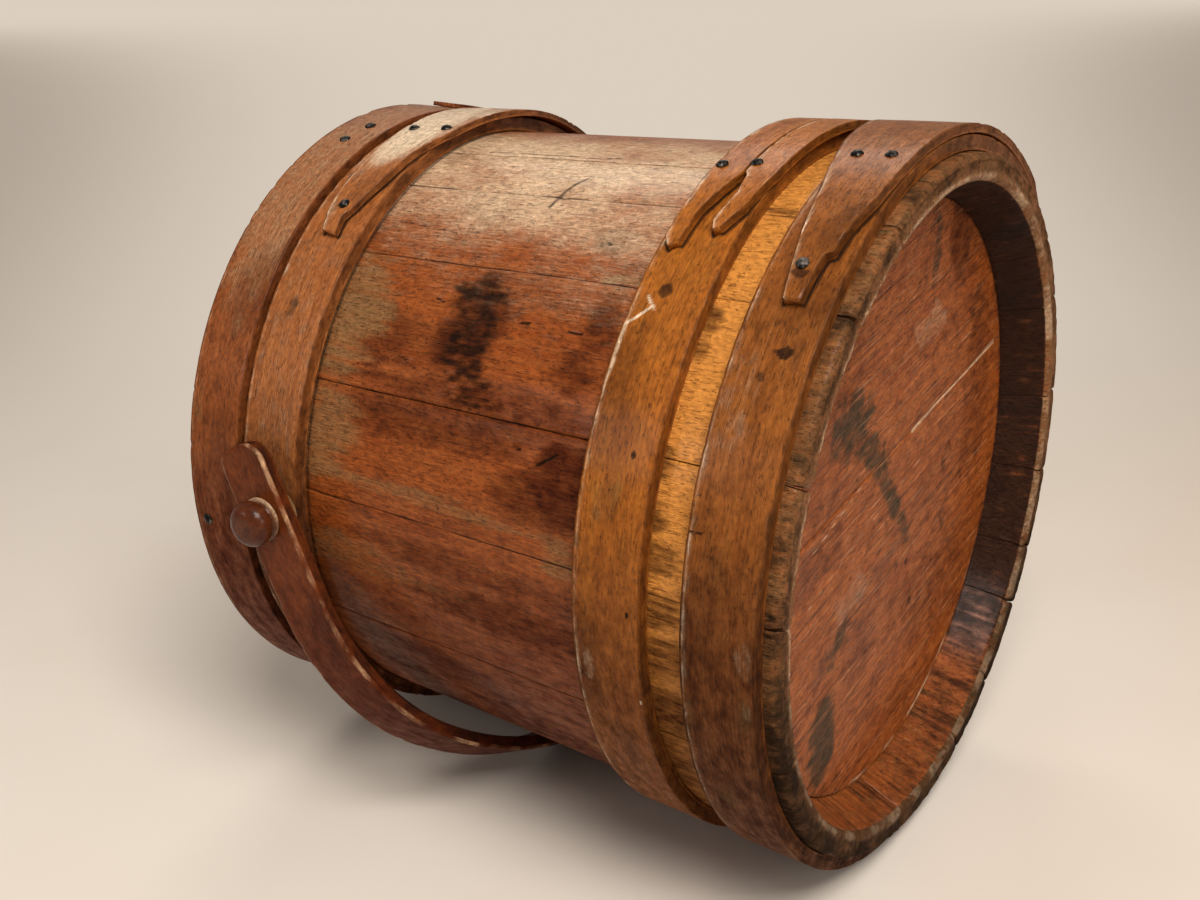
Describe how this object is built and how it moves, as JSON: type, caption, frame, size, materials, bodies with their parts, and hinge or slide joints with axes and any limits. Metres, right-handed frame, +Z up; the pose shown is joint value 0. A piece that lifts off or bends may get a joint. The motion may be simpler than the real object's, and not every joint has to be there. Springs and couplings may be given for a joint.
{
  "type": "staved wooden firkin",
  "caption": "Tapered staved wooden bucket on its side, with lapped bentwood hoops, a recessed bottom, a rimmed lid and a swinging bentwood handle on turned pegs.",
  "frame": {"origin": "on the floor under the middle of the firkin's box, which lies on its side with the handle under it", "axes": "+X along the barrel from the lid to the bottom end, +Y away from the near peg, +Z up"},
  "size_m": [0.295, 0.3338, 0.3171],
  "materials": {
    "stave_wood": "worn reddish-brown stain over softwood, satin",
    "bottom_wood": "worn reddish-brown paint with dark stains",
    "dowel_wood": "plain turned softwood",
    "nail_iron": "blackened wrought iron",
    "hoop_wood": "orange-brown stained ash, satin",
    "lid_wood": "worn reddish-brown stain",
    "rim_wood": "dark reddish-brown stain, satin",
    "bail_wood": "dark brown stained ash, worn edges",
    "peg_wood": "dark glossy turned hardwood",
    "spacer_wood": "plain hardwood"
  },
  "bodies": {
    "bucket": {"bottom_board_1": "bottom_wood", "bottom_board_2": "bottom_wood", "bottom_dowels": "dowel_wood", "hoop_bottom": "hoop_wood", "hoop_bottom_nails": "nail_iron", "hoop_middle": "hoop_wood", "hoop_middle_nails": "nail_iron", "hoop_top": "hoop_wood", "hoop_top_nails": "nail_iron", "peg_far": "peg_wood", "peg_near": "peg_wood", "spacer_far": "spacer_wood", "spacer_near": "spacer_wood", "stave_01": "stave_wood", "stave_02": "stave_wood", "stave_03": "stave_wood", "stave_04": "stave_wood", "stave_05": "stave_wood", "stave_06": "stave_wood", "stave_07": "stave_wood", "stave_08": "stave_wood", "stave_09": "stave_wood", "stave_10": "stave_wood", "stave_11": "stave_wood", "stave_12": "stave_wood", "stave_13": "stave_wood", "stave_14": "stave_wood", "stave_15": "stave_wood", "stave_16": "stave_wood", "stave_17": "stave_wood", "stave_18": "stave_wood", "stave_19": "stave_wood"},
    "lid": {"lid_board_1": "lid_wood", "lid_board_2": "lid_wood", "lid_dowels": "dowel_wood", "lid_rim": "rim_wood", "lid_rim_nails": "nail_iron"},
    "handle": {"bail": "bail_wood"}
  },
  "joints": [
    {"name": "handle_swing", "type": "hinge", "parent": "bucket", "child": "handle", "pos_m": [-0.09456, 0, 0.158], "axis": [0, 1, 0], "range_deg": [0, 229]},
    {"name": "lid_lift", "type": "slide", "parent": "bucket", "child": "lid", "axis": [-1, 0, 0.0075], "range_m": [0, 0.06]}
  ]
}
